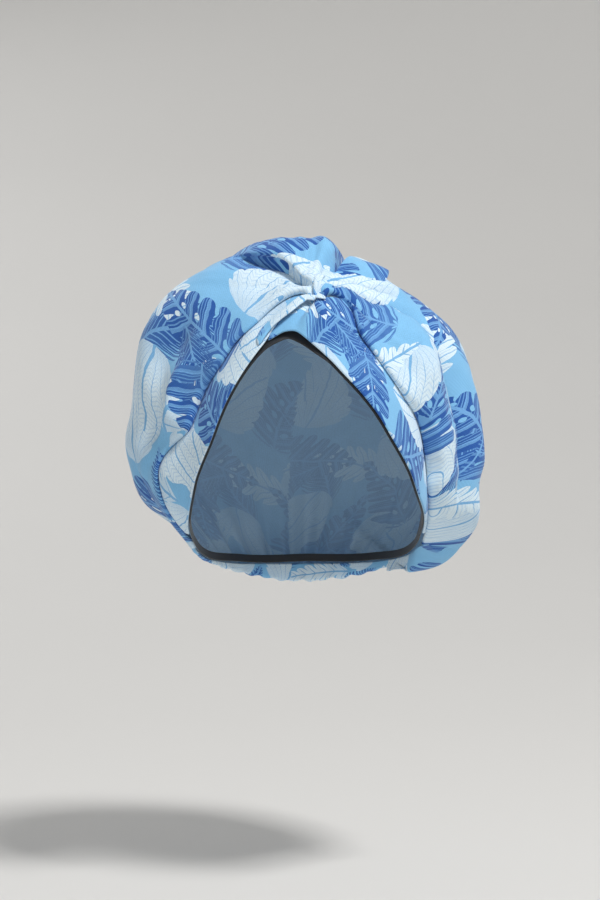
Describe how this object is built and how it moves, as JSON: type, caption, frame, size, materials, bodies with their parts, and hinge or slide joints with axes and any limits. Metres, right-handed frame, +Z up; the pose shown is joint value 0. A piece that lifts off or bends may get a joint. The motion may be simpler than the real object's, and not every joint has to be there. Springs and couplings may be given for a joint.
{
  "type": "turban headwrap",
  "caption": "Ready tied turban headwrap of printed cloth: a puffed crown gathered into a twist at the front, two crossed bands round the face and a dark edge binding.",
  "frame": {"origin": "the top of the hollow that takes the head, inside the crown, where the wrap sits on the wearer", "axes": "+Z up out of the top of the wearer's head, -Y forward out of the face opening, +X to the right of a picture taken from the front"},
  "size_m": [0.2392, 0.2285, 0.2337],
  "materials": {
    "printed_cotton": "matt plain weave cotton printed with dark blue and off-white leaves on light blue",
    "binding_tape": "dark satin weave tape"
  },
  "bodies": {
    "root": {"crown_bag": "printed_cotton", "left_band": "printed_cotton", "right_band": "printed_cotton", "hem_roll": "printed_cotton", "knot": "printed_cotton", "corner_flap": "printed_cotton", "edge_binding": "binding_tape"}
  },
  "joints": []
}
